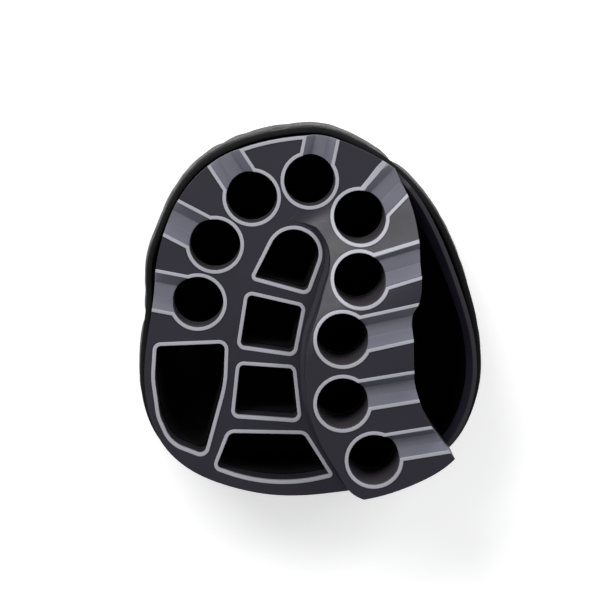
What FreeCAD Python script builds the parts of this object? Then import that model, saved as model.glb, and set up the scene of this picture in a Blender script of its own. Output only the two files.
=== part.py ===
import FreeCAD, Part
import math
import os

# Rack organizer: a moulded deck of round wells, troughs and bins on a closed body in a padded sleeve.
# Millimetres, +Z up, the rear of the deck toward +Y, the floor at z = 0.

V = FreeCAD.Vector

# Heights
FOOT_HEIGHT = 4.0
BASE_TOP = 8.0
CUP_FLOOR = 2.0
BORE_TOP = 70.0
DECK_UNDERSIDE = 87.0
DECK_TOP = 90.0
RAMP_TOP = 122.0
DECK_THICKNESS = DECK_TOP - DECK_UNDERSIDE
ABOVE_ALL = 135.0

# The ramp climbs along a line that points to the right and the front
RAMP_HEADING = -60.0
RAMP_SLOPE = 24.0
RAMP_START = -62.0
RAMP_FOOT_RADIUS = 25.0
RAMP_CREST_RADIUS = 60.0
# Outline of the step's face: height, and how far it leans back from its foot
STEP_FACE = [(DECK_TOP, 0.0), (DECK_TOP + 3.5, 3.2), (RAMP_TOP + 6.0, 3.9)]

# Round wells
BORE_RADIUS = 18.0
LEAD_IN_RADIUS = 18.4
TUBE_RADIUS = 20.4
RIM_RADIUS = 20.9
RIM_PROUD = 0.6
RIM_SEAT = 2.4

# Troughs
TROUGH_DEPTH = 9.0
TROUGH_LIP = 2.4
TROUGH_WALL = 2.0
BEVEL_HEIGHT = 8.2

# Bins
BIN_RIM_WIDTH = 2.6
BIN_WALL = 2.0
LINING = 1.2
LINING_TOP = 71.0

# Body and sleeve
SHELL_GAP = 1.0
SHELL_THICKNESS = 3.0
SLEEVE_THICKNESS = 7.0
SLEEVE_BOTTOM = 6.0
SLEEVE_TOP = 62.0
BINDING_HEIGHT = 3.0
# Brings the origin under the middle of the sleeve
ORIGIN_SHIFT = V(-0.7, 1.4, 0)
SIDE_RIM_DEPTH = 14.0

# Outer edge of the deck, anticlockwise from the middle of the rear
OUTLINE = [
    (0, 130), (-49, 121), (-74, 108), (-94.5, 85), (-106, 59), (-111.5, 35), (-114.8, 4),
    (-118.3, -17), (-120.6, -45), (-118, -69), (-108.5, -93), (-89, -112.5), (-60, -125.5),
    (-30, -132), (-1, -132.5), (23, -130), (45, -126.5), (72, -117.5), (101.5, -99), (117.5, -70),
    (122, -42), (120, -18), (109.5, 19.5), (90, 66.5), (64.5, 102.5), (36, 120),
]

# Well centres, the direction in which each trough leaves, and the trough's two sides, right then left
WELLS = [
    ((-81.5, 10.5), 169, -18.0, 13.0),
    ((-69.0, 52.0), 152, -17.0, 12.0),
    ((-42.5, 86.0), 123, -13.5, 14.5),
    ((-1.0, 98.0), 78, -15.0, 11.0),
    ((34.5, 72.5), 45.5, -14.5, 16.0),
    ((34.0, 29.5), 17.5, -12.0, 18.0),
    ((21.5, -12.0), 12.5, -13.0, 14.0),
    ((21.5, -58.0), 9, -8.0, 15.5),
    ((44.0, -99.0), 9, -4.0, 18.0),
]
FIRST_RAMP_WELL = 5

# Bins: corners with their radii, at the outer edge of the light rim
BINS = {
    "toe": [(-44.5, 26.8, 4), (-1.6, 14.8, 6), (13.3, 55.9, 20), (-21.9, 71.7, 20)],
    "upper": [(-47.5, 19.2, 6), (-3.2, 8.9, 6), (-10.8, -29.9, 6), (-54.3, -23.5, 6)],
    "lower": [(-54, -32.6, 6), (-11, -35.8, 6), (-6.4, -78.6, 6), (-58.6, -74.6, 6)],
    "left": [(-114, -18.9, 6), (-59.4, -16.9, 7), (-60.8, -50, 90), (-76, -105.5, 7), (-103.5, -94.5, 25),
             (-112.3, -74, 30), (-115.9, -45, 60)],
    "heel": [(-61, -83, 8), (-3.6, -84.4, 8), (17.6, -118.8, 3), (-28, -128.8, 120), (-72.5, -112.5, 6)],
}

# Foot of the S-shaped step, from the front end to where it fades out at the rear
STEP_FOOT = [
    (44, -134), (34, -131), (26, -126.3), (20.2, -119.5), (14.5, -109.5), (8, -99), (1.4, -86.2), (-5.6, -66),
    (-7.9, -46), (-7.9, -28), (-5.3, -10), (0.9, 8), (6.2, 26), (9, 35), (9.7, 44), (8.4, 51.5), (4.2, 59),
    (-1.5, 64.8), (-8.5, 67.8),
]
STEP_END = (-16, 70)
# Joint between the two deck mouldings, from the end of the step under the fourth liner to the rear edge
SEAM = [(-8, 77.5), (-1, 98), (9, 142)]
# The cliff above the side well, from the rear to the front
CLIFF = [
    (58, 112), (64, 98), (68.5, 88), (75.5, 58.5), (77, 31), (75.2, 14), (71.8, 5), (71.5, -12), (72, -33),
    (76, -56), (82.5, -71), (98.5, -94), (107, -106),
]
FRONT_CORNERS = [(107, -142), (44, -144)]

POSTS = [(-75, 86), (-22, 116), (-100, 38), (-102, -10), (-62, -7.5), (-44, 57)]
# Places where the padding stands out more or less than elsewhere: centre, extra thickness, spread
SLEEVE_SWELLS = [
    ((-115, 33), 3.2, 24), ((113, 42), 2.0, 36), ((62, 108), -3.0, 28), ((-80, -118), -1.4, 40),
]
# Points of the step's foot beside which a screw joins the two deck mouldings
RAMP_SCREW_POINTS = (6, 7, 8, 11)
FEET = [(0, 108), (-82, 68), (-104, -42), (-32, -112), (62, -104), (108, -30), (78, 66)]


# ---------------------------------------------------------------- outlines

def at_height(points, z):
    return [V(x, y, z) for x, y in points]


def closed_curve(points, z=0.0):
    curve = Part.BSplineCurve()
    curve.interpolate(at_height(points, z), PeriodicFlag=True)
    return curve


def smooth_wire(points, z=0.0):
    return Part.Wire([closed_curve(points, z).toShape()])


def moved_out(points, distance):
    """The points of a closed smooth outline moved along its outward normal by a distance, or by distance(x, y)."""
    curve = closed_curve(points)
    out = []
    for x, y in points:
        tangent = curve.tangent(curve.parameter(V(x, y, 0)))[0]
        reach = distance(x, y) if callable(distance) else distance
        out.append((x + tangent.y * reach, y - tangent.x * reach))
    return out


def shifted(points, distance):
    """The points of an open line moved to its left by a distance."""
    out = []
    last = len(points) - 1
    for i, (x, y) in enumerate(points):
        (x0, y0), (x1, y1) = points[max(i - 1, 0)], points[min(i + 1, last)]
        length = math.hypot(x1 - x0, y1 - y0)
        out.append((x - (y1 - y0) / length * distance, y + (x1 - x0) / length * distance))
    return out


def rounded_wire(corners, z=0.0):
    """Straight sides joined by arcs, one radius for each corner."""
    edges = []
    ends = []
    count = len(corners)
    for i, (x, y, radius) in enumerate(corners):
        here = V(x, y, z)
        back = V(*corners[i - 1][:2], z) - here
        ahead = V(*corners[(i + 1) % count][:2], z) - here
        half = back.getAngle(ahead) / 2
        reach = radius / math.tan(half)
        back.normalize()
        ahead.normalize()
        middle = back + ahead
        middle.normalize()
        bow = here + middle * (radius / math.sin(half) - radius)
        ends.append((here + back * reach, bow, here + ahead * reach))
    for i, (start, bow, end) in enumerate(ends):
        edges.append(Part.Arc(start, bow, end).toShape())
        edges.append(Part.makeLine(end, ends[(i + 1) % count][0]))
    return Part.Wire(edges)


def prism(wire, low, high):
    face = Part.Face(wire)
    face.translate(V(0, 0, low))
    return face.extrude(V(0, 0, high - low))


def inside_outline(distance, low, high):
    return prism(smooth_wire(moved_out(OUTLINE, distance)), low, high)


def cylinder(centre, radius, low, high):
    return Part.makeCylinder(radius, high - low, V(centre[0], centre[1], low))


def inset(wire, distance):
    return wire.makeOffset2D(-distance)


# ---------------------------------------------------------------- the deck's top surface

HEADING = V(math.cos(math.radians(RAMP_HEADING)), math.sin(math.radians(RAMP_HEADING)), 0)
ACROSS = V(-HEADING.y, HEADING.x, 0)
SLOPE = math.radians(RAMP_SLOPE)
RAMP_END = RAMP_START + (RAMP_TOP - DECK_TOP) / math.tan(SLOPE)
FOOT_TANGENT = RAMP_FOOT_RADIUS * math.tan(SLOPE / 2)
CREST_TANGENT = RAMP_CREST_RADIUS * math.tan(SLOPE / 2)


def surface_height(x, y):
    along = HEADING.x * x + HEADING.y * y
    if along <= RAMP_START - FOOT_TANGENT:
        return DECK_TOP
    if along < RAMP_START + FOOT_TANGENT * math.cos(SLOPE):
        run = along - RAMP_START + FOOT_TANGENT
        return DECK_TOP + RAMP_FOOT_RADIUS - math.sqrt(RAMP_FOOT_RADIUS ** 2 - run ** 2)
    if along < RAMP_END - CREST_TANGENT * math.cos(SLOPE):
        return DECK_TOP + (along - RAMP_START) * math.tan(SLOPE)
    if along < RAMP_END + CREST_TANGENT:
        run = RAMP_END + CREST_TANGENT - along
        return RAMP_TOP - RAMP_CREST_RADIUS + math.sqrt(RAMP_CREST_RADIUS ** 2 - run ** 2)
    return RAMP_TOP


def below_surface(rise, low=0.0):
    """Everything from z = low up to the deck's top surface moved up by rise."""

    def point(along, height):
        return HEADING * along - ACROSS * 300 + V(0, 0, height)

    half = SLOPE / 2
    foot_start = (RAMP_START - FOOT_TANGENT, DECK_TOP)
    foot_end = (RAMP_START + FOOT_TANGENT * math.cos(SLOPE), DECK_TOP + FOOT_TANGENT * math.sin(SLOPE))
    foot_middle = (
        foot_start[0] + RAMP_FOOT_RADIUS * math.sin(half),
        DECK_TOP + RAMP_FOOT_RADIUS * (1 - math.cos(half)),
    )
    crest_end = (RAMP_END + CREST_TANGENT, RAMP_TOP)
    crest_start = (RAMP_END - CREST_TANGENT * math.cos(SLOPE), RAMP_TOP - CREST_TANGENT * math.sin(SLOPE))
    crest_middle = (
        crest_end[0] - RAMP_CREST_RADIUS * math.sin(half),
        RAMP_TOP - RAMP_CREST_RADIUS * (1 - math.cos(half)),
    )
    rear, front = -300, 300
    top = [(rear, DECK_TOP), foot_start, foot_middle, foot_end, crest_start, crest_middle, crest_end, (front, RAMP_TOP)]
    top = [point(along, height + rise) for along, height in top]
    edges = [
        Part.makeLine(top[0], top[1]),
        Part.Arc(top[1], top[2], top[3]).toShape(),
        Part.makeLine(top[3], top[4]),
        Part.Arc(top[4], top[5], top[6]).toShape(),
        Part.makeLine(top[6], top[7]),
        Part.makeLine(top[7], point(front, low)),
        Part.makeLine(point(front, low), point(rear, low)),
        Part.makeLine(point(rear, low), top[0]),
    ]
    return Part.Face(Part.Wire(edges)).extrude(ACROSS * 600)


# ---------------------------------------------------------------- ramp region

def open_curve(points, z):
    curve = Part.BSplineCurve()
    curve.interpolate(at_height(points, z))
    return curve.toShape()


def ramp_wire(z, step_lean=0.0, wall=0.0):
    """Outline of the ramp moulding. It runs past the body's outline at the rear and the front.

    An outline moved in by a wall's thickness leaves out the thin tip where the step fades out.
    """
    step = shifted(STEP_FOOT, -(step_lean + wall))
    cliff = shifted(CLIFF, -wall)
    corners = at_height(FRONT_CORNERS, z)
    if wall > 0:
        step = step[:-2]
        seam = shifted(SEAM, -wall)[1:]
        tip = [Part.makeLine(V(*step[-1], z), V(*seam[0], z))]
    else:
        end = (STEP_END[0] + 2.0 * wall, STEP_END[1])
        step = step + [end]
        seam = [end] + shifted(SEAM, -wall)
        tip = []
    edges = [open_curve(step, z)] + tip + [
        open_curve(seam, z),
        Part.makeLine(V(*seam[-1], z), V(*cliff[0], z)),
        open_curve(cliff, z),
        Part.makeLine(V(*cliff[-1], z), corners[0]),
        Part.makeLine(corners[0], corners[1]),
        Part.makeLine(corners[1], V(*step[0], z)),
    ]
    return Part.Wire(edges)


def ramp_block(wall=0.0, low=DECK_UNDERSIDE):
    """The ramp's full height, with its inner side leaning back from the step's foot."""
    sections = [ramp_wire(low, 0.0, wall)]
    for height, lean in STEP_FACE:
        sections.append(ramp_wire(height, lean, wall))
    return Part.makeLoft(sections, True, True)


def ramp_side(low, high, wall=0.0):
    return prism(ramp_wire(0.0, 0.0, wall), low, high)


# ---------------------------------------------------------------- wells

def deck_height(number, x, y):
    return surface_height(x, y) if number >= FIRST_RAMP_WELL else DECK_TOP


def below_deck(number, rise):
    """Everything up to the deck round this well, moved up by rise."""
    if number >= FIRST_RAMP_WELL:
        return below_surface(rise)
    return Part.makeBox(400, 400, DECK_TOP + rise, V(-200, -200, 0))


def trough_section(number, centre, heading, outline):
    """Sweep a section outward from a well, following the deck's fall or rise along the trough."""
    angle = math.radians(heading)
    along = V(math.cos(angle), math.sin(angle), 0)
    side = V(-along.y, along.x, 0)
    start = deck_height(number, *centre)
    mouth = deck_height(number, centre[0] + along.x * 40, centre[1] + along.y * 40)
    floor = V(centre[0], centre[1], start - TROUGH_DEPTH)
    points = [floor + side * offset + V(0, 0, height) for offset, height in outline]
    length = 80.0
    travel = along * length + V(0, 0, (mouth - start) * length / 40)
    return Part.Face(Part.makePolygon(points + points[:1])).extrude(travel)


def trough_shapes(number, centre, heading, right, left):
    """The trough's wall, the hollow in it, and the room that it needs in the deck."""
    inner_right, inner_left = right + TROUGH_LIP, left - TROUGH_LIP
    run = 0.3 * (inner_left - inner_right)
    sky = 45.0
    hollow = [
        (inner_right, sky), (inner_right, BEVEL_HEIGHT), (inner_right + run, 0),
        (inner_left - run, 0), (inner_left, BEVEL_HEIGHT), (inner_left, sky),
    ]
    room = [
        (right, sky), (right, BEVEL_HEIGHT - TROUGH_WALL), (inner_right + run - 1, -TROUGH_WALL),
        (inner_left - run + 1, -TROUGH_WALL), (left, BEVEL_HEIGHT - TROUGH_WALL), (left, sky),
    ]
    hollow = trough_section(number, centre, heading, hollow)
    room = trough_section(number, centre, heading, room)
    return room.cut(hollow), hollow, room


def keyhole_liner(number, centre, heading, right, left):
    wall, hollow, room = trough_shapes(number, centre, heading, right, left)
    ring = cylinder(centre, RIM_RADIUS, DECK_UNDERSIDE - 5, ABOVE_ALL)
    ring = ring.common(below_deck(number, RIM_PROUD)).cut(below_deck(number, -RIM_SEAT))
    liner = ring.cut(room).fuse(wall.common(below_deck(number, RIM_PROUD)))
    liner = liner.cut(hollow).cut(cylinder(centre, LEAD_IN_RADIUS, 0, ABOVE_ALL))
    liner = liner.common(inside_outline(0.0, 0, ABOVE_ALL))
    if number >= FIRST_RAMP_WELL:
        liner = liner.common(ramp_side(0, ABOVE_ALL))
    return liner.removeSplitter()


def well_tube(number, centre, heading, right, left):
    tube = cylinder(centre, TUBE_RADIUS, BASE_TOP, ABOVE_ALL).common(below_deck(number, -RIM_SEAT))
    tube = tube.cut(cylinder(centre, BORE_RADIUS, BASE_TOP + CUP_FLOOR, BORE_TOP))
    tube = tube.cut(cylinder(centre, LEAD_IN_RADIUS, BORE_TOP, ABOVE_ALL))
    return tube.cut(trough_shapes(number, centre, heading, right, left)[2]).removeSplitter()


def keyhole_room(number, centre, heading, right, left):
    room = trough_shapes(number, centre, heading, right, left)[2]
    return cylinder(centre, RIM_RADIUS, DECK_UNDERSIDE - 5, ABOVE_ALL).fuse(room)


# ---------------------------------------------------------------- bins

def bin_rim(corners):
    outer = rounded_wire(corners)
    return prism(outer, DECK_UNDERSIDE, DECK_TOP + RIM_PROUD).cut(
        prism(inset(outer, BIN_RIM_WIDTH), DECK_UNDERSIDE - 1, ABOVE_ALL))


def bin_cup(corners):
    outer = rounded_wire(corners)
    shell = prism(inset(outer, BIN_RIM_WIDTH - BIN_WALL), BASE_TOP, DECK_UNDERSIDE)
    return shell.cut(prism(inset(outer, BIN_RIM_WIDTH), BASE_TOP + CUP_FLOOR, ABOVE_ALL))


def bin_lining(corners):
    outer = rounded_wire(corners)
    cloth = prism(inset(outer, BIN_RIM_WIDTH), BASE_TOP + CUP_FLOOR, LINING_TOP)
    hollow = inset(outer, BIN_RIM_WIDTH + LINING)
    return cloth.cut(prism(hollow, BASE_TOP + CUP_FLOOR + LINING, ABOVE_ALL))


# ---------------------------------------------------------------- deck mouldings

def edge_trim_room(low, high):
    """The strip along the rear edge, between the third and fourth troughs."""
    band = inside_outline(0.0, low, high).cut(inside_outline(-2.4, low - 1, high + 1))
    return band.common(Part.makeBox(44, 40, high - low, V(-49, 100, low)))


def deck_edge_trim(rooms):
    strip = edge_trim_room(DECK_TOP - 1.5, DECK_TOP + RIM_PROUD)
    for room in rooms:
        strip = strip.cut(room)
    return largest(strip)


def largest(shape):
    return max(shape.Solids, key=lambda solid: solid.Volume)


def side_well_region(low, high, reach):
    """The space between the cliff and the body's right side, with the body's outline moved by reach."""
    region = inside_outline(reach, low, high).cut(ramp_side(low - 1, high + 1))
    right = Part.makeBox(100, 225, high - low, V(56, -112, low))
    return largest(region.common(right))


def lower_deck(rooms):
    plate = inside_outline(0.0, DECK_UNDERSIDE, DECK_TOP).cut(ramp_side(0, ABOVE_ALL))
    plate = max(plate.Solids, key=lambda solid: -solid.CenterOfMass.x)
    ledge = ramp_side(DECK_UNDERSIDE - 3, DECK_UNDERSIDE, -2.0).cut(ramp_side(0, ABOVE_ALL, 4.0))
    ledge = ledge.common(inside_outline(-4.5, 0, ABOVE_ALL))
    ledge = ledge.common(Part.makeBox(36, 190, ABOVE_ALL, V(-20, -121, 0)))
    for x, y in POSTS:
        plate = plate.fuse(cylinder((x, y), 6.0, DECK_UNDERSIDE - 4, DECK_UNDERSIDE))
        plate = plate.cut(cylinder((x, y), 4.0, DECK_UNDERSIDE - 5, DECK_UNDERSIDE))
    deck = plate.fuse(ledge)
    for corners in BINS.values():
        deck = deck.cut(prism(rounded_wire(corners), 0, ABOVE_ALL))
    for room in rooms:
        deck = deck.cut(room)
    for x, y in ramp_screw_places():
        deck = deck.cut(cylinder((x, y), 1.0, DECK_UNDERSIDE - 4, DECK_UNDERSIDE))
    deck = deck.cut(edge_trim_room(DECK_TOP - 1.5, ABOVE_ALL))
    return largest(deck.removeSplitter())


def ramp_deck(rooms):
    outer = ramp_block().common(below_surface(0.0)).common(inside_outline(0.0, 0, ABOVE_ALL))
    hollow = ramp_block(DECK_THICKNESS, DECK_UNDERSIDE - 1).common(below_surface(-DECK_THICKNESS))
    hollow = hollow.common(inside_outline(-DECK_THICKNESS, 0, ABOVE_ALL))
    deck = outer.cut(hollow)
    for room in rooms:
        deck = deck.cut(room)
    for x, y in ramp_screw_places():
        deck = deck.cut(cylinder((x, y), 0.8, DECK_UNDERSIDE - 4, DECK_UNDERSIDE + 3))
    return largest(deck.removeSplitter())


# ---------------------------------------------------------------- side well

def slope_width(x, y):
    """The side rim's slope is wider toward the rear."""
    return -(7.8 + 0.035 * max(y, 0))


def side_rim():
    low = DECK_TOP - SIDE_RIM_DEPTH
    rim = side_well_region(DECK_UNDERSIDE, DECK_TOP, 0.0)
    rim = rim.fuse(side_well_region(low, DECK_UNDERSIDE, -SHELL_GAP - SHELL_THICKNESS))
    throat = smooth_wire(moved_out(OUTLINE, slope_width), low)
    mouth = smooth_wire(moved_out(OUTLINE, -1.4), DECK_TOP)
    return largest(rim.cut(Part.makeLoft([throat, mouth], True, True)).removeSplitter())


def side_well_cup():
    top = DECK_TOP - SIDE_RIM_DEPTH
    shell_face = -SHELL_GAP - SHELL_THICKNESS - 0.5
    outer = inside_outline(lambda x, y: min(slope_width(x, y) + 2.0, shell_face), BASE_TOP, top)
    outer = outer.cut(ramp_side(0, ABOVE_ALL, 2.0))
    inner = inside_outline(slope_width, BASE_TOP + CUP_FLOOR, ABOVE_ALL).cut(ramp_side(0, ABOVE_ALL))
    inner = inner.cut(Part.makeBox(400, 100, ABOVE_ALL, V(-200, 66, 0)))
    right = Part.makeBox(100, 225, ABOVE_ALL, V(56, -112, 0))
    wall_top = inside_outline(-8.0, top, DECK_UNDERSIDE).cut(ramp_side(0, ABOVE_ALL, 2.0))
    wall_top = wall_top.common(ramp_side(0, ABOVE_ALL)).common(right)
    cup = largest(outer.common(right)).cut(largest(inner.common(right)))
    return largest(cup.fuse(wall_top).removeSplitter())


# ---------------------------------------------------------------- body, base and sleeve

def body_shell(side, rooms):
    """One half of the outer wall. The halves meet on the centre line."""
    wall = inside_outline(-SHELL_GAP, BASE_TOP, DECK_UNDERSIDE)
    wall = wall.cut(inside_outline(-SHELL_GAP - SHELL_THICKNESS, 0, ABOVE_ALL))
    start = -150 if side == "left" else 0
    wall = wall.common(Part.makeBox(150, 300, ABOVE_ALL, V(start, -150, 0)))
    for room in rooms:
        wall = wall.cut(room)
    return largest(wall)


def base_plate():
    plate = inside_outline(-SHELL_GAP, FOOT_HEIGHT, BASE_TOP)
    for x, y in POSTS:
        plate = plate.cut(cylinder((x, y), 1.7, 0, BASE_TOP + 1))
        plate = plate.cut(cylinder((x, y), 3.3, 0, FOOT_HEIGHT + 2))
    return plate


def deck_posts():
    posts = []
    for x, y in POSTS:
        post = cylinder((x, y), 4.0, BASE_TOP, DECK_UNDERSIDE)
        posts.append(post.cut(cylinder((x, y), 1.5, 0, BASE_TOP + 13)))
    return Part.makeCompound(posts)


def base_screws():
    screws = []
    for x, y in POSTS:
        head = cylinder((x, y), 3.0, FOOT_HEIGHT + 0.2, FOOT_HEIGHT + 2)
        slot = Part.makeBox(5, 0.8, 0.8, V(x - 2.5, y - 0.4, FOOT_HEIGHT))
        shank = cylinder((x, y), 1.5, FOOT_HEIGHT + 2, BASE_TOP + 12)
        screws.append(head.cut(slot).fuse(shank))
    return Part.makeCompound(screws)


def ramp_screw_places():
    line = shifted(STEP_FOOT, -1.5)
    return [line[i] for i in RAMP_SCREW_POINTS]


def ramp_screws():
    screws = []
    for x, y in ramp_screw_places():
        low = DECK_UNDERSIDE - 3
        head = cylinder((x, y), 1.7, low - 1.4, low)
        screws.append(head.fuse(cylinder((x, y), 0.8, low, DECK_UNDERSIDE + 2.5)))
    return Part.makeCompound(screws)


def rubber_feet():
    return Part.makeCompound([Part.makeCone(7.0, 8.0, FOOT_HEIGHT, V(x, y, 0)) for x, y in FEET])


def sleeve_reach(x, y):
    reach = SLEEVE_THICKNESS - SHELL_GAP
    for centre, swell, spread in SLEEVE_SWELLS:
        reach += swell * math.exp(-(math.dist(centre, (x, y)) / spread) ** 2)
    return reach


def padded_sleeve():
    """Four sewn panels round the body."""
    sleeve = inside_outline(sleeve_reach, SLEEVE_BOTTOM, SLEEVE_TOP)
    rims = [edge for edge in sleeve.Edges if edge.BoundBox.ZLength < 0.1]
    sleeve = sleeve.makeFillet(3.0, rims)
    sleeve = sleeve.cut(inside_outline(-SHELL_GAP, 0, ABOVE_ALL))
    panels = []
    for x in (-150, 0):
        for y in (-150, 0):
            panels.append(sleeve.common(Part.makeBox(150, 150, ABOVE_ALL, V(x, y, 0))))
    return Part.makeCompound([solid for panel in panels for solid in panel.Solids])


def sleeve_binding(low):
    ring = inside_outline(SLEEVE_THICKNESS - SHELL_GAP - 2.5, low, low + BINDING_HEIGHT)
    return ring.cut(inside_outline(0.5, low - 1, low + BINDING_HEIGHT + 1))


# ---------------------------------------------------------------- assembly

def build():
    rooms = [keyhole_room(number, *well) for number, well in enumerate(WELLS, start=1)]
    lower_rooms = rooms[:FIRST_RAMP_WELL - 1]
    parts = {
        "lower_deck": lower_deck(rooms),
        "ramp_deck": ramp_deck(rooms),
        "deck_edge_trim": deck_edge_trim(lower_rooms),
        "side_rim": side_rim(),
        "side_well_cup": side_well_cup(),
        "body_shell_left": body_shell("left", rooms),
        "body_shell_right": body_shell("right", rooms),
        "base_plate": base_plate(),
        "deck_posts": deck_posts(),
        "base_screws": base_screws(),
        "ramp_screws": ramp_screws(),
        "rubber_feet": rubber_feet(),
        "padded_sleeve": padded_sleeve(),
        "sleeve_top_binding": sleeve_binding(SLEEVE_TOP),
        "sleeve_bottom_binding": sleeve_binding(SLEEVE_BOTTOM - BINDING_HEIGHT),
    }
    for number, well in enumerate(WELLS, start=1):
        parts["keyhole_liner_%d" % number] = keyhole_liner(number, *well)
        parts["well_tube_%d" % number] = well_tube(number, *well)
    for name, corners in BINS.items():
        parts[name + "_bin_rim"] = bin_rim(corners)
        parts[name + "_bin_cup"] = bin_cup(corners)
        parts[name + "_bin_lining"] = bin_lining(corners)
    return parts


os.makedirs("parts", exist_ok=True)
for name, shape in build().items():
    shape.translate(ORIGIN_SHIFT)
    shape.exportStep("parts/%s.step" % name)
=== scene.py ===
import math

import bmesh
import bpy
from mathutils import Matrix, Vector, noise
from mathutils.bvhtree import BVHTree


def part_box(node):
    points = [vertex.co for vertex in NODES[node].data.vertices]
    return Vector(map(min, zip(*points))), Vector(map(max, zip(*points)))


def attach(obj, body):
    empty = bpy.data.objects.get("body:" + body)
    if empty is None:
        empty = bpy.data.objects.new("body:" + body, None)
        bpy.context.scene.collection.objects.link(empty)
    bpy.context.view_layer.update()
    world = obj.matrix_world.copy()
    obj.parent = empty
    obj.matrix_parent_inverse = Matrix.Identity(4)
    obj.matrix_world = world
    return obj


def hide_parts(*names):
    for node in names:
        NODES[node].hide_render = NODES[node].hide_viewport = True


# Rack organizer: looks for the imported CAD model. Metres, +Z up, the rear of the deck toward +Y.

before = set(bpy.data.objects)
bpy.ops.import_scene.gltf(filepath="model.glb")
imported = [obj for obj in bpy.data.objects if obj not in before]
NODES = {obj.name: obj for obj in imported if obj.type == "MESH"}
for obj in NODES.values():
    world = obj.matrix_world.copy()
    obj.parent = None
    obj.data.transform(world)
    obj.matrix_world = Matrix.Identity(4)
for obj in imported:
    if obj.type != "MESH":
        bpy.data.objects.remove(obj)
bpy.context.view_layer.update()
MM = 0.001
BIN_NAMES = ("toe", "upper", "lower", "left", "heel")
UP = Vector((0, 0, 1))
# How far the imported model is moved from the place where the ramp's rule below is written
DECK_SHIFT = (-0.7 * MM, 1.4 * MM)
DECK_TOP = 90 * MM
# The light rims are what lies within this depth of the deck's top surface
RIM_DEPTH = 0.5 * MM
FIRST_RAMP_LINER = 5
# Well tubes are painted near black below the first height, as painted shade for the dark deep in the wells,
# and keep their own colour above the second
PAINTED_SHADE_BELOW = (62 * MM, 78 * MM)
SLEEVE_COLUMNS = 330
CLOTH_FRAMES = 20
CLOTH_LIMIT = 0.9 * MM
STITCH_RADIUS = 0.32 * MM
STITCH_PITCH = 3.4 * MM
LINING_COLUMNS = 140
LINING_THICKNESS = 1.3 * MM
EDGE_WEAR = 0.35


# ---------------------------------------------------------------- camera, stage and light

def add_camera():
    camera = bpy.data.objects.new("camera", bpy.data.cameras.new("camera"))
    camera.data.sensor_width = 36.0
    camera.data.lens = 107.4
    camera.data.clip_end = 20.0
    right = Vector((0.9997, 0, 0.0249))
    up = Vector((0.0036, 0.9896, -0.1437))
    back = Vector((-0.0246, 0.1437, 0.9893))
    place = Matrix((right, up, back)).transposed().to_4x4()
    place.translation = Vector((-0.04045, 0.1986, 1.3662))
    camera.matrix_world = place
    bpy.context.scene.collection.objects.link(camera)
    bpy.context.scene.camera = camera


def add_floor():
    mesh = bpy.data.meshes.new("floor")
    mesh.from_pydata([(-4, -4, 0), (4, -4, 0), (4, 4, 0), (-4, 4, 0)], [], [(0, 1, 2, 3)])
    floor = bpy.data.objects.new("floor", mesh)
    bpy.context.scene.collection.objects.link(floor)
    white = plain_material("floor_white", (0.9, 0.9, 0.9), 0.9)
    shader = white.node_tree.nodes["Principled BSDF"]
    shader.inputs["Specular IOR Level"].default_value = 0.0
    shader.inputs["Emission Color"].default_value = (1.0, 1.0, 1.0, 1.0)
    shader.inputs["Emission Strength"].default_value = 0.5
    floor.data.materials.append(white)


def add_area_light(name, place, aim, size, power):
    light = bpy.data.lights.new(name, "AREA")
    light.shape = "RECTANGLE"
    light.size, light.size_y = size
    light.energy = power
    lamp = bpy.data.objects.new(name, light)
    lamp.location = place
    lamp.rotation_mode = "QUATERNION"
    lamp.rotation_quaternion = (Vector(aim) - Vector(place)).to_track_quat("-Z", "Y")
    bpy.context.scene.collection.objects.link(lamp)


def add_light():
    world = bpy.data.worlds.new("studio")
    world.use_nodes = True
    background = world.node_tree.nodes["Background"]
    background.inputs["Color"].default_value = (0.95, 0.96, 1.0, 1.0)
    background.inputs["Strength"].default_value = 0.12
    bpy.context.scene.world = world
    add_area_light("overhead_softbox", (0.0, -0.25, 2.6), (0, 0, 0.05), (1.8, 1.4), 3.5)
    add_area_light("key_softbox", (-0.75, 1.15, 1.35), (0, 0, 0.05), (1.0, 0.7), 22.0)
    add_area_light("fill_softbox", (0.95, 0.9, 1.3), (0, 0, 0.05), (0.8, 0.8), 8.0)
    add_area_light("left_strip", (-1.3, 0.1, 0.55), (0, 0, 0.07), (1.2, 0.35), 4.0)
    add_area_light("right_strip", (1.3, 0.2, 0.55), (0, 0, 0.07), (1.2, 0.35), 4.0)
    add_area_light("rear_strip", (0.0, 1.5, 0.5), (0, 0, 0.07), (1.4, 0.3), 2.0)
    bpy.context.scene.view_settings.view_transform = "Standard"


# ---------------------------------------------------------------- materials

def plain_material(name, color, roughness, metallic=0.0):
    material = bpy.data.materials.new(name)
    material.use_nodes = True
    shader = material.node_tree.nodes["Principled BSDF"]
    shader.inputs["Base Color"].default_value = (*color, 1.0)
    shader.inputs["Roughness"].default_value = roughness
    shader.inputs["Metallic"].default_value = metallic
    material.diffuse_color = (*color, 1.0)
    return material


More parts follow.
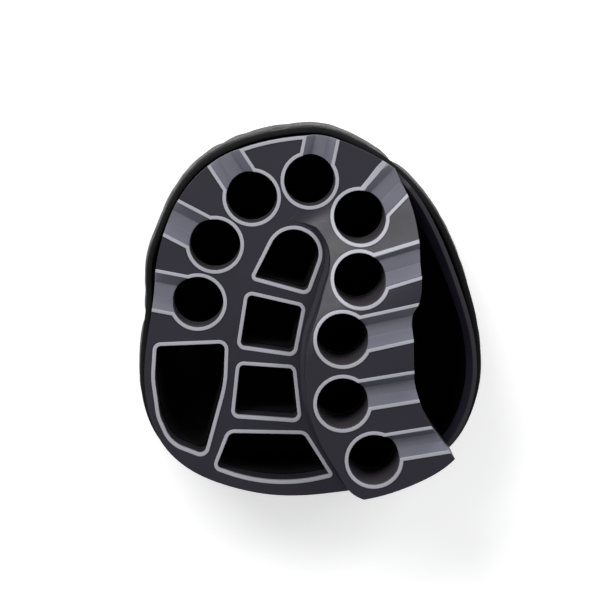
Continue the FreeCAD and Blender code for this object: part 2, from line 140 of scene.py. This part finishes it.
class Builder:
    """Adds nodes to a material and joins them."""

    def __init__(self, material):
        self.tree = material.node_tree
        self.shader = self.tree.nodes["Principled BSDF"]
        self.place = self.add("ShaderNodeTexCoord").outputs["Object"]

    def add(self, kind, inputs=None, **settings):
        node = self.tree.nodes.new(kind)
        for name, value in settings.items():
            setattr(node, name, value)
        for name, value in (inputs or {}).items():
            if isinstance(value, bpy.types.NodeSocket):
                self.tree.links.new(value, node.inputs[name])
            else:
                node.inputs[name].default_value = value
        return node

    def join(self, output, name):
        self.tree.links.new(output, self.shader.inputs[name])

    def noise(self, scale, detail=2.0, roughness=0.5, place=None, distortion=0.0):
        node = self.add("ShaderNodeTexNoise", {
            "Vector": place or self.place, "Scale": scale, "Detail": detail, "Roughness": roughness,
            "Distortion": distortion})
        return node.outputs["Fac"]

    def cells(self, scale, place):
        inputs = {"Vector": place, "Scale": scale}
        node = self.add("ShaderNodeTexVoronoi", inputs, feature="DISTANCE_TO_EDGE")
        return node.outputs["Distance"]

    def stretched(self, scale, turn=0.0):
        node = self.add("ShaderNodeMapping", {"Vector": self.place, "Scale": scale, "Rotation": (0, 0, turn)})
        return node.outputs["Vector"]

    def remap(self, value, low, high, new_low, new_high, smooth=False):
        node = self.add("ShaderNodeMapRange", {
            "Value": value, "From Min": low, "From Max": high, "To Min": new_low, "To Max": new_high})
        node.interpolation_type = "SMOOTHSTEP" if smooth else "LINEAR"
        return node.outputs["Result"]

    def math(self, operation, first, second=0.0):
        node = self.add("ShaderNodeMath", operation=operation)
        for socket, value in zip(node.inputs, (first, second)):
            if isinstance(value, bpy.types.NodeSocket):
                self.tree.links.new(value, socket)
            else:
                socket.default_value = value
        return node.outputs["Value"]

    def mix(self, share, first, second):
        node = self.add("ShaderNodeMix", data_type="RGBA")
        sockets = [node.inputs[0], node.inputs[6], node.inputs[7]]
        for socket, value in zip(sockets, (share, first, second)):
            if isinstance(value, bpy.types.NodeSocket):
                self.tree.links.new(value, socket)
            elif isinstance(value, tuple):
                socket.default_value = (*value, 1.0)
            else:
                socket.default_value = value
        return node.outputs[2]

    def bump(self, height, distance, strength=1.0, normal=None):
        inputs = {"Height": height, "Distance": distance, "Strength": strength}
        if normal:
            inputs["Normal"] = normal
        return self.add("ShaderNodeBump", inputs).outputs["Normal"]

    def soft_edges(self, radius):
        return self.add("ShaderNodeBevel", {"Radius": radius}, samples=6).outputs["Normal"]

    def edge_share(self, soft_normal):
        """0 on flat faces, rising to 1 at worn edges."""
        true_normal = self.add("ShaderNodeNewGeometry").outputs["Normal"]
        dot = self.add("ShaderNodeVectorMath", operation="DOT_PRODUCT")
        self.tree.links.new(soft_normal, dot.inputs[0])
        self.tree.links.new(true_normal, dot.inputs[1])
        return self.remap(dot.outputs["Value"], 0.995, 0.75, 0.0, 1.0)


def moulded_plastic(name, color, roughness, grain=0.35, edge_radius=0.5 * MM, painted_shade_below=None,
                    shine_level=0.5):
    """Injection-moulded plastic: spark-eroded grain, faint flow marks, handling marks and polished edges.

    With two heights given, the plastic is painted near black and dull below the first and keeps its own
    colour and shine above the second: painted shade for the dark deep down a well.
    """
    material = plain_material(name, color, roughness)
    b = Builder(material)
    soft = b.soft_edges(edge_radius)
    edge = b.edge_share(soft)
    flow = b.noise(22.0, 3.0)
    rub = b.noise(1.0, 5.0, 0.62, b.stretched((60, 420, 160), 0.6))
    scratches = b.remap(rub, 0.62, 0.74, 0.0, 1.0)
    darker = tuple(c * 0.93 for c in color)
    lighter = tuple(c * 1.07 for c in color)
    tone = b.mix(b.remap(flow, 0.3, 0.7, 0.0, 1.0), darker, lighter)
    tone = b.mix(b.math("MULTIPLY", scratches, 0.12), tone, tuple(min(1, c * 1.9) for c in color))
    worn = tuple(min(1, c * 1.7 + 0.02) for c in color)
    broken = b.remap(b.noise(260.0, 3.0), 0.35, 0.6, 0.0, EDGE_WEAR)
    tone = b.mix(b.math("MULTIPLY", edge, broken), tone, worn)
    if painted_shade_below:
        # Painted shade: below the lower height the colour fades to near black and the shine goes, as in the
        # shade deep down a well.
        height = b.add("ShaderNodeSeparateXYZ", {"Vector": b.place}).outputs["Z"]
        clear_of_painted_shade = b.remap(height, painted_shade_below[0], painted_shade_below[1], 0.0, 1.0, smooth=True)
        tone = b.mix(clear_of_painted_shade, (0.0008, 0.0008, 0.0010), tone)
        b.join(b.remap(clear_of_painted_shade, 0.0, 1.0, 0.02, shine_level), "Specular IOR Level")
    b.shader.inputs["Specular IOR Level"].default_value = shine_level
    b.join(tone, "Base Color")
    shine = b.remap(b.noise(48.0, 4.0), 0.3, 0.7, roughness - 0.05, roughness + 0.05)
    shine = b.math("SUBTRACT", shine, b.math("MULTIPLY", edge, 0.08))
    b.join(b.math("SUBTRACT", shine, b.math("MULTIPLY", scratches, 0.06)), "Roughness")
    fine = b.noise(2600.0, 2.0, 0.6)
    normal = b.bump(fine, 0.03 * MM, grain, soft)
    b.join(b.bump(b.noise(60.0, 2.0), 0.25 * MM, 0.25, normal), "Normal")
    return material


def leather_look(name, color):
    """Embossed vinyl: pebbled cells with fine creases between them; the creases are darkened with painted
    shade.
    """
    material = plain_material(name, color, 0.42)
    b = Builder(material)
    bent = b.add("ShaderNodeVectorMath", operation="ADD")
    wobble = b.add("ShaderNodeTexNoise", {"Vector": b.place, "Scale": 180.0, "Detail": 2.0}).outputs["Color"]
    scaled = b.add("ShaderNodeVectorMath", operation="SCALE")
    scaled.inputs["Scale"].default_value = 0.0025
    b.tree.links.new(wobble, scaled.inputs[0])
    b.tree.links.new(b.place, bent.inputs[0])
    b.tree.links.new(scaled.outputs["Vector"], bent.inputs[1])
    pebble = b.cells(620.0, bent.outputs["Vector"])
    crease = b.remap(pebble, 0.0, 0.16, 0.0, 1.0, smooth=True)
    long_creases = b.noise(1.0, 4.0, 0.6, b.stretched((60, 60, 260)), 1.2)
    # Painted shade: the colour falls to under half in the creases between the pebbles.
    tone = b.mix(crease, tuple(c * 0.45 for c in color), color)
    scuffed = tuple(c * 1.8 + 0.002 for c in color)
    tone = b.mix(b.remap(b.noise(35.0, 3.0), 0.4, 0.75, 0.0, 0.35), tone, scuffed)
    b.join(tone, "Base Color")
    b.join(b.remap(crease, 0.0, 1.0, 0.62, 0.36), "Roughness")
    normal = b.bump(crease, 0.16 * MM, 0.55)
    normal = b.bump(long_creases, 0.9 * MM, 0.35, normal)
    b.join(b.bump(b.noise(3000.0, 2.0), 0.02 * MM, 0.3, normal), "Normal")
    b.shader.inputs["Specular IOR Level"].default_value = 0.2
    b.shader.inputs["Coat Weight"].default_value = 0.03
    b.shader.inputs["Coat Roughness"].default_value = 0.28
    return material


def woven_tape(name, color, length):
    """Ribbed binding tape: ribs across it and a twill along it. The map's u runs once round the piece."""
    material = plain_material(name, color, 0.72)
    b = Builder(material)
    where = b.add("ShaderNodeSeparateXYZ", {"Vector": b.add("ShaderNodeUVMap", uv_map="run").outputs["UV"]})
    ribs = b.math("SINE", b.math("MULTIPLY", where.outputs["X"], 2 * math.pi * round(length / 0.0011)))
    yarns = b.math("SINE", b.math("MULTIPLY", where.outputs["Y"], 2 * math.pi * 9.0))
    weave = b.math("MULTIPLY", ribs, yarns)
    height = b.math("ADD", b.math("MULTIPLY", ribs, 0.5), weave)
    # Painted shade and highlight: the colour is darker in the weave's hollows and lighter on its raised ribs.
    share = b.remap(height, -1.2, 1.2, 0.0, 1.0)
    tone = b.mix(share, tuple(c * 0.5 for c in color), tuple(c * 1.5 for c in color))
    tone = b.mix(b.remap(b.noise(90.0, 3.0), 0.4, 0.8, 0.0, 0.3), tone, tuple(c * 2.0 + 0.001 for c in color))
    b.join(tone, "Base Color")
    b.join(b.remap(share, 0.0, 1.0, 0.85, 0.6), "Roughness")
    normal = b.bump(height, 0.12 * MM, 0.6)
    b.join(b.bump(b.noise(1800.0, 2.0), 0.05 * MM, 0.5, normal), "Normal")
    b.shader.inputs["Specular IOR Level"].default_value = 0.2
    return material


def flocked_fabric(name, color):
    material = plain_material(name, color, 0.95)
    b = Builder(material)
    nap = b.noise(1400.0, 4.0, 0.7)
    brushed_nap_and_sheen = b.noise(70.0, 3.0, 0.6)
    tone = b.mix(nap, tuple(c * 0.5 for c in color), tuple(c * 1.6 for c in color))
    # Painted sheen: brushed patches of the nap are painted up to twice as light, standing in for the sheen of
    # its fibres; the same noise also bumps the nap.
    tone = b.mix(b.remap(brushed_nap_and_sheen, 0.45, 0.7, 0.0, 0.4), tone, tuple(c * 2.0 for c in color))
    b.join(tone, "Base Color")
    b.join(b.remap(nap, 0.3, 0.7, 0.88, 1.0), "Roughness")
    b.join(b.bump(nap, 0.25 * MM, 0.8, b.bump(brushed_nap_and_sheen, 0.6 * MM, 0.4)), "Normal")
    b.shader.inputs["Specular IOR Level"].default_value = 0.15
    return material


def thread(name, color):
    material = plain_material(name, color, 0.6)
    b = Builder(material)
    twist = b.noise(1.0, 2.0, 0.5, b.stretched((2400, 2400, 2400)))
    b.join(b.mix(twist, tuple(c * 0.6 for c in color), tuple(c * 1.4 for c in color)), "Base Color")
    b.join(b.remap(twist, 0.2, 0.8, 0.7, 0.5), "Roughness")
    b.join(b.bump(twist, 0.08 * MM, 0.6), "Normal")
    return material


def moulded_rubber(name, color):
    material = plain_material(name, color, 0.8)
    b = Builder(material)
    soft = b.soft_edges(0.6 * MM)
    speckle = b.noise(900.0, 3.0)
    dust = b.remap(b.noise(120.0, 4.0), 0.5, 0.75, 0.0, 0.35)
    b.join(b.mix(dust, color, tuple(c * 3.0 + 0.02 for c in color)), "Base Color")
    b.join(b.remap(speckle, 0.3, 0.7, 0.72, 0.88), "Roughness")
    b.join(b.bump(speckle, 0.05 * MM, 0.5, soft), "Normal")
    return material


def plated_steel(name, color):
    material = plain_material(name, color, 0.35, 1.0)
    b = Builder(material)
    soft = b.soft_edges(0.25 * MM)
    turned = b.noise(1.0, 3.0, 0.6, b.stretched((900, 900, 5200)))
    stain = b.noise(300.0, 3.0)
    b.join(b.mix(b.remap(stain, 0.4, 0.7, 0.0, 0.5), color, tuple(c * 0.65 for c in color)), "Base Color")
    b.join(b.remap(turned, 0.2, 0.8, 0.28, 0.45), "Roughness")
    b.join(b.bump(turned, 0.03 * MM, 0.5, soft), "Normal")
    return material


def paint_node(name, material):
    slots = NODES[name].material_slots
    for slot in slots:
        slot.material = material


def ramp_height(x, y):
    """The deck's top surface on the ramp: two flats and a slope, joined by arcs."""
    along = 0.5 * (x - DECK_SHIFT[0]) / MM - 0.8660 * (y - DECK_SHIFT[1]) / MM
    foot, rise, bend, crest = -62.0, math.tan(math.radians(24.0)), math.tan(math.radians(12.0)), 60.0
    end = foot + 32.0 / rise
    if along <= foot - 25 * bend:
        return DECK_TOP
    if along < foot + 25 * bend * 0.9135:
        return (115 - math.sqrt(25 ** 2 - (along - foot + 25 * bend) ** 2)) * MM
    if along < end - crest * bend * 0.9135:
        return (90 + (along - foot) * rise) * MM
    if along < end + crest * bend:
        return (122 - crest + math.sqrt(crest ** 2 - (end + crest * bend - along) ** 2)) * MM
    return 122 * MM


def paint_liner(name, rims, troughs):
    """The light rim is what stands level with the deck; the trough below it is a darker grey."""
    mesh = NODES[name].data
    mesh.materials.clear()
    mesh.materials.append(rims)
    mesh.materials.append(troughs)
    on_ramp = int(name[-1]) >= FIRST_RAMP_LINER
    for polygon in mesh.polygons:
        centre = polygon.center
        level = ramp_height(centre.x, centre.y) if on_ramp else DECK_TOP
        polygon.material_index = 0 if centre.z > level - RIM_DEPTH else 1


def paint_cad():
    deck = moulded_plastic("deck_plastic", (0.0185, 0.0155, 0.027), 0.48, grain=0.5, edge_radius=0.6 * MM)
    rims = moulded_plastic("rim_plastic", (0.42, 0.42, 0.47), 0.42, grain=0.25, edge_radius=0.8 * MM)
    troughs = moulded_plastic("trough_plastic", (0.16, 0.16, 0.20), 0.36, grain=0.25, edge_radius=0.7 * MM)
    tubes = moulded_plastic("well_plastic", (0.075, 0.068, 0.078), 0.5, grain=0.3, painted_shade_below=PAINTED_SHADE_BELOW)
    cups = moulded_plastic("bin_plastic", (0.030, 0.026, 0.032), 0.5, grain=0.3)
    black = moulded_plastic("black_plastic", (0.008, 0.008, 0.010), 0.6, grain=0.3)
    # The side well cup is black plastic painted darker still and nearly without shine: its own black plus
    # painted shade for the deep well.
    side = moulded_plastic("side_well_black_and_painted_shade", (0.0015, 0.0015, 0.0018), 0.9, grain=0.3, shine_level=0.04)
    shell = moulded_plastic("shell_plastic", (0.018, 0.016, 0.021), 0.55, grain=0.4)
    for name in ("lower_deck", "ramp_deck", "side_rim"):
        paint_node(name, deck)
    for name in ("body_shell_left", "body_shell_right"):
        paint_node(name, shell)
    for name in ("base_plate", "deck_posts"):
        paint_node(name, black)
    paint_node("side_well_cup", side)
    paint_node("deck_edge_trim", rims)
    for number in range(1, 10):
        paint_liner("keyhole_liner_%d" % number, rims, troughs)
        paint_node("well_tube_%d" % number, tubes)
    for name in BIN_NAMES:
        paint_node(name + "_bin_rim", rims)
        paint_node(name + "_bin_cup", cups)
    paint_node("rubber_feet", moulded_rubber("foot_rubber", (0.012, 0.012, 0.012)))
    steel = plated_steel("screw_steel", (0.42, 0.42, 0.43))
    paint_node("base_screws", steel)
    paint_node("ramp_screws", steel)


# ---------------------------------------------------------------- outlines taken from the CAD nodes

def flat_face_loops(name, height):
    """The closed edge loops of a node's level faces at a height, longest first, each anticlockwise."""
    mesh = bmesh.new()
    mesh.from_mesh(NODES[name].data)
    others = [f for f in mesh.faces
              if abs(f.normal.z) < 0.99 or abs(f.calc_center_median().z - height) > 1e-5]
    bmesh.ops.delete(mesh, geom=others, context="FACES")
    bmesh.ops.remove_doubles(mesh, verts=mesh.verts, dist=1e-6)
    left = {e for e in mesh.edges if e.is_boundary}
    loops = []
    while left:
        edge = left.pop()
        start, here = edge.verts
        loop = [start.co.copy(), here.co.copy()]
        while True:
            step = next((e for e in here.link_edges if e in left), None)
            if step is None:
                break
            left.discard(step)
            here = step.other_vert(here)
            if here is start:
                break
            loop.append(here.co.copy())
        turn = sum(p.x * q.y - q.x * p.y for p, q in zip(loop, loop[1:] + loop[:1]))
        loops.append(loop if turn > 0 else loop[::-1])
    mesh.free()
    return sorted(loops, key=loop_length, reverse=True)


def loop_length(points):
    return sum((q - p).length for p, q in zip(points, points[1:] + points[:1]))


def even_loop(points, count, smoothing=3):
    """The loop resampled to evenly spaced points, starting at its most +X point."""
    first = max(range(len(points)), key=lambda i: points[i].x)
    points = points[first:] + points[:first]
    total = loop_length(points)
    closed = points + points[:1]
    out, walked, i = [], 0.0, 0
    for k in range(count):
        target = total * k / count
        while walked + (closed[i + 1] - closed[i]).length < target:
            walked += (closed[i + 1] - closed[i]).length
            i += 1
        span = closed[i + 1] - closed[i]
        out.append(closed[i] + span * ((target - walked) / span.length))
    for _ in range(smoothing):
        out = [(out[k - 1] + out[k] * 2 + out[(k + 1) % count]) / 4 for k in range(count)]
    return out


def outward_normals(points):
    count = len(points)
    normals = []
    for k in range(count):
        along = points[(k + 1) % count] - points[k - 1]
        normals.append(Vector((along.y, -along.x, 0)).normalized())
    return normals


# ---------------------------------------------------------------- mesh helpers

def new_piece(name, vertices, faces, material):
    mesh = bpy.data.meshes.new(name)
    mesh.from_pydata(vertices, [], faces)
    mesh.validate()
    piece = bpy.data.objects.new(name, mesh)
    bpy.context.scene.collection.objects.link(piece)
    mesh.materials.append(material)
    mesh.polygons.foreach_set("use_smooth", [True] * len(mesh.polygons))
    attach(piece, "root")
    return piece


def ring_faces(columns, rows, wrap=True):
    """Quads of a grid that closes round its columns and, with wrap, round its rows."""
    faces = []
    for k in range(columns):
        after = (k + 1) % columns
        for j in range(rows if wrap else rows - 1):
            over = (j + 1) % rows
            faces.append((k * rows + j, after * rows + j, after * rows + over, k * rows + over))
    return faces


def add_run_map(piece, columns, rows):
    """A UV map whose u runs once round the piece and v once round its section."""
    mesh = piece.data
    layer = mesh.uv_layers.new(name="run")
    for polygon in mesh.polygons:
        corners = [mesh.loops[i].vertex_index for i in polygon.loop_indices]
        across = [divmod(v, rows) for v in corners]
        last_column = {c for c, _ in across} == {0, columns - 1}
        last_row = {r for _, r in across} == {0, rows - 1}
        for i, (column, row) in zip(polygon.loop_indices, across):
            u = (columns if last_column and column == 0 else column) / columns
            v = (rows if last_row and row == 0 else row) / rows
            layer.data[i].uv = (u, v)


# ---------------------------------------------------------------- the padded sleeve

SLEEVE_LOW, SLEEVE_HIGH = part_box("padded_sleeve")
SEAM_ANGLES = (4.0, 62.0, 183.0, 268.0)


def seam_share(angle):
    """1 on a vertical seam, falling to 0 about 12 mm away."""
    nearest = min(abs((angle - seam + 180) % 360 - 180) for seam in SEAM_ANGLES)
    return math.exp(-(nearest / 2.2) ** 2)


def sleeve_bulge(angle, height):
    """How far the padding stands out from the seam line, in metres."""
    crown = math.sin(math.pi * height) ** 0.6
    return 2.4 * MM * crown * (1 - 0.6 * seam_share(angle))


def sleeve_reach(loop, normals):
    """How far the CAD sleeve's outer face stands out from the shell at each point of the loop."""
    solid = bmesh.new()
    solid.from_mesh(NODES["padded_sleeve"].data)
    tree = BVHTree.FromBMesh(solid)
    reach = []
    for point, normal in zip(loop, normals):
        start = point + normal * 0.05
        start.z = (SLEEVE_LOW.z + SLEEVE_HIGH.z) / 2
        reach.append(0.05 - tree.ray_cast(start, -normal)[3])
    solid.free()
    count = len(reach)
    for _ in range(6):
        reach = [(reach[k - 1] + 2 * reach[k] + reach[(k + 1) % count]) / 4 for k in range(count)]
    return reach


def sleeve_section(angle, reach):
    """Points round the sleeve's section at one place: (outward, height)."""
    low, high = SLEEVE_LOW.z + 0.8 * MM, SLEEVE_HIGH.z - 0.5 * MM
    points = []
    rows = 20
    for j in range(rows + 1):
        t = j / rows
        height = low + (high - low) * t
        lip = 1.6 * MM * (1 - min(1, min(t, 1 - t) * 9)) ** 2
        points.append((reach - 2.2 * MM - lip + sleeve_bulge(angle, t), height))
    for out, drop in ((0.42, 0.6), (0.12, 4.5)):
        points.append((reach * out, high - drop * MM))
    for j in range(9):
        points.append((0.3 * MM, high - 6 * MM - (high - low - 6 * MM) * j / 8))
    for out, rise in ((0.15, -0.4), (0.45, -0.6)):
        points.append((reach * out, low + rise * MM))
    return points


def relax_as_cloth(piece, held):
    """Swells the piece as stuffed fabric held at some points. No point moves further than the limit."""
    start = [v.co.copy() for v in piece.data.vertices]
    group = piece.vertex_groups.new(name="held")
    group.add(held, 1.0, "REPLACE")
    cloth = piece.modifiers.new("cloth", "CLOTH")
    settings = cloth.settings
    settings.quality = 6
    settings.mass = 0.25
    settings.tension_stiffness = 18
    settings.compression_stiffness = 12
    settings.bending_stiffness = 0.35
    settings.shrink_min = -0.015
    settings.use_pressure = True
    settings.uniform_pressure_force = 1.2
    settings.vertex_group_mass = "held"
    settings.pin_stiffness = 1.0
    settings.effector_weights.gravity = 0.0
    cloth.collision_settings.use_collision = False
    scene = bpy.context.scene
    scene.frame_start, scene.frame_end = 1, CLOTH_FRAMES
    cloth.point_cache.frame_start, cloth.point_cache.frame_end = 1, CLOTH_FRAMES
    for step in range(1, CLOTH_FRAMES + 1):
        scene.frame_set(step)
    graph = bpy.context.evaluated_depsgraph_get()
    shaped = piece.evaluated_get(graph).to_mesh()
    moved = [v.co.copy() for v in shaped.vertices]
    piece.evaluated_get(graph).to_mesh_clear()
    piece.modifiers.remove(cloth)
    scene.frame_set(1)
    for vertex, before, after in zip(piece.data.vertices, start, moved):
        travel = after - before
        if travel.length > CLOTH_LIMIT:
            travel *= CLOTH_LIMIT / travel.length
        vertex.co = before + travel
    piece.vertex_groups.remove(group)


def make_sleeve(material):
    columns = SLEEVE_COLUMNS
    loop = even_loop(flat_face_loops("base_plate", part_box("base_plate")[1].z)[0], columns)
    normals = outward_normals(loop)
    reach = sleeve_reach(loop, normals)
    vertices, held = [], []
    rows = len(sleeve_section(0, 0.006))
    for k in range(columns):
        angle = math.degrees(math.atan2(loop[k].y, loop[k].x)) % 360
        for j, (out, height) in enumerate(sleeve_section(angle, reach[k])):
            point = loop[k] + normals[k] * out
            point.z = height
            outer = 1 < j < 19
            if outer and seam_share(angle) < 0.8:
                ripple = noise.noise(Vector((point.x * 90, point.y * 90, point.z * 45)))
                point += normals[k] * ripple * 0.5 * MM
            else:
                held.append(k * rows + j)
            vertices.append(point)
    faces = ring_faces(columns, rows)
    sleeve = new_piece("padded_sleeve_cover", vertices, faces, material)
    relax_as_cloth(sleeve, held)
    subdivide = sleeve.modifiers.new("smooth", "SUBSURF")
    subdivide.levels = subdivide.render_levels = 1
    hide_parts("padded_sleeve")
    return loop, normals, reach


def make_binding(name, node, loop, normals, reach, material):
    """Tape folded over the sleeve's edge, soft and slightly uneven."""
    low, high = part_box(node)
    middle = (low.z + high.z) / 2
    rows = 14
    columns = len(loop)
    vertices = []
    for k in range(columns):
        uneven = noise.noise(Vector((loop[k].x * 40, loop[k].y * 40, middle * 100)))
        for j in range(rows):
            turn = 2 * math.pi * j / rows
            half_width = (2.35 + 0.25 * uneven) * MM
            half_height = (high.z - low.z) / 2 + 0.25 * uneven * MM
            out = math.copysign(abs(math.cos(turn)) ** 0.8, math.cos(turn)) * half_width
            rise = math.copysign(abs(math.sin(turn)) ** 0.8, math.sin(turn)) * half_height
            point = loop[k] + normals[k] * (reach[k] - 3.4 * MM + out)
            point.z = middle + rise
            vertices.append(point)
    piece = new_piece(name, vertices, ring_faces(columns, rows), material)
    add_run_map(piece, columns, rows)
    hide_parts(node)


def stitch(start, end, up, radius):
    """One stitch as a short bent thread: its vertices and faces."""
    sides, steps = 6, 6
    along = (end - start).normalized()
    across = along.cross(up).normalized()
    vertices, faces = [], []
    for i in range(steps + 1):
        t = i / steps
        centre = start.lerp(end, t) + up * radius * (2.2 * math.sin(math.pi * t) - 1.2)
        thick = radius * (0.55 + 0.45 * math.sin(math.pi * t))
        for j in range(sides):
            turn = 2 * math.pi * j / sides
            vertices.append(centre + (across * math.cos(turn) + up * math.sin(turn)) * thick)
    for i in range(steps):
        for j in range(sides):
            over = (j + 1) % sides
            faces.append((i * sides + j, i * sides + over, (i + 1) * sides + over, (i + 1) * sides + j))
    faces.append(tuple(range(sides))[::-1])
    faces.append(tuple(steps * sides + j for j in range(sides)))
    return vertices, faces


def make_stitching(name, lines, material):
    """A run of stitches along each line of (point, surface normal) pairs."""
    vertices, faces = [], []
    for line in lines:
        for (start, up), (end, _) in line:
            more, quads = stitch(start, end, up, STITCH_RADIUS)
            offset = len(vertices)
            vertices += more
            faces += [tuple(i + offset for i in quad) for quad in quads]
    return new_piece(name, vertices, faces, material)


def edge_stitches(loop, normals, reach, height, up_share):
    """Stitches that run round the sleeve, just outside its binding."""
    edge = [point + normal * (out - 1.6 * MM) for point, normal, out in zip(loop, normals, reach)]
    count = int(loop_length(edge) / STITCH_PITCH)
    fine = even_loop(edge, count * 2, smoothing=0)
    sides = outward_normals(fine)
    line = []
    for k in range(count):
        pair = []
        for i in (2 * k, 2 * k + 1):
            point = fine[i].copy()
            point.z = height
            pair.append((point, (sides[i] * (1 - up_share) + UP * up_share).normalized()))
        line.append(tuple(pair))
    return line


# ---------------------------------------------------------------- bin linings

def make_lining(name, material):
    """A fabric-covered foam cup with a rolled top edge and a crowned floor."""
    node = name + "_bin_lining"
    low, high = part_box(node)
    count = LINING_COLUMNS
    loop = even_loop(flat_face_loops(node, high.z)[0], count, smoothing=2)
    normals = outward_normals(loop)
    centre = sum(loop, Vector()) / count
    thickness = LINING_THICKNESS
    tall = high.z - low.z
    section = [(0.15 * MM, low.z + 0.3 * MM)]
    section += [(0.1 * MM, low.z + tall * t) for t in (0.25, 0.5, 0.75, 0.97)]
    section += [(0.4 * MM, high.z - 0.2 * MM), (thickness * 0.8, high.z - 0.1 * MM)]
    section += [(thickness + 0.2 * MM, high.z - 1.2 * MM)]
    section += [(thickness, high.z - tall * t) for t in (0.08, 0.2, 0.35, 0.5, 0.65, 0.8, 0.9)]
    section += [(thickness + 0.7 * MM, low.z + 3.6 * MM), (thickness + 2.4 * MM, low.z + 2.2 * MM)]
    vertices = []
    for point, normal in zip(loop, normals):
        for inward, height in section:
            soft = 0.0
            if inward >= thickness:
                soft = noise.noise(Vector((point.x * 60, point.y * 60, height * 40)))
            place = point - normal * (inward + 0.35 * MM * soft)
            place.z = height
            vertices.append(place)
    rows = len(section)
    faces = ring_faces(count, rows, wrap=False)
    floor_height, floor_crown = low.z + 2.2 * MM, 1.4 * MM
    close_with_rings(vertices, faces, count, rows, rows - 1, centre, floor_height, floor_crown)
    close_with_rings(vertices, faces, count, rows, 0, centre, low.z + 0.3 * MM, 0.0, under=True)
    lining = new_piece(node + "_cloth", vertices, faces, material)
    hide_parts(node)


def close_with_rings(vertices, faces, count, rows, row, centre, height, crown, under=False):
    """Fills the opening left by one row with rings that close on the centre, adding to both lists."""
    steps = 7
    previous = [k * rows + row for k in range(count)]
    for step in range(1, steps):
        share = 1 - step / steps
        ring = []
        for k in range(count):
            edge = vertices[k * rows + row]
            x = centre.x + (edge.x - centre.x) * share
            y = centre.y + (edge.y - centre.y) * share
            point = Vector((x, y, 0))
            puff = crown * (1 - share ** 3) * (1 + 0.4 * noise.noise(point * 55)) if crown else 0.0
            ring.append(len(vertices))
            vertices.append(Vector((point.x, point.y, height + puff)))
        for k in range(count):
            after = (k + 1) % count
            quad = (previous[k], previous[after], ring[after], ring[k])
            faces.append(quad[::-1] if under else quad)
        previous = ring
    vertices.append(Vector((centre.x, centre.y, height + crown)))
    for k in range(count):
        triangle = (previous[k], previous[(k + 1) % count], len(vertices) - 1)
        faces.append(triangle[::-1] if under else triangle)


# ---------------------------------------------------------------- assembly

add_camera()
add_floor()
add_light()
paint_cad()

sleeve_loop, sleeve_normals, sleeve_out = make_sleeve(leather_look("leatherette", (0.0035, 0.0035, 0.0042)))
tape = woven_tape("binding_tape", (0.006, 0.006, 0.007), loop_length(sleeve_loop))
for node in ("sleeve_top_binding", "sleeve_bottom_binding"):
    make_binding(node + "_tape", node, sleeve_loop, sleeve_normals, sleeve_out, tape)
sewing = thread("sewing_thread", (0.03, 0.03, 0.033))
make_stitching("sleeve_edge_stitching", [
    edge_stitches(sleeve_loop, sleeve_normals, sleeve_out, SLEEVE_HIGH.z - 1.6 * MM, 0.35),
    edge_stitches(sleeve_loop, sleeve_normals, sleeve_out, SLEEVE_LOW.z + 1.9 * MM, 0.0),
], sewing)
flock = flocked_fabric("flocked_lining", (0.003, 0.003, 0.0036))
for bin_name in BIN_NAMES:
    make_lining(bin_name, flock)
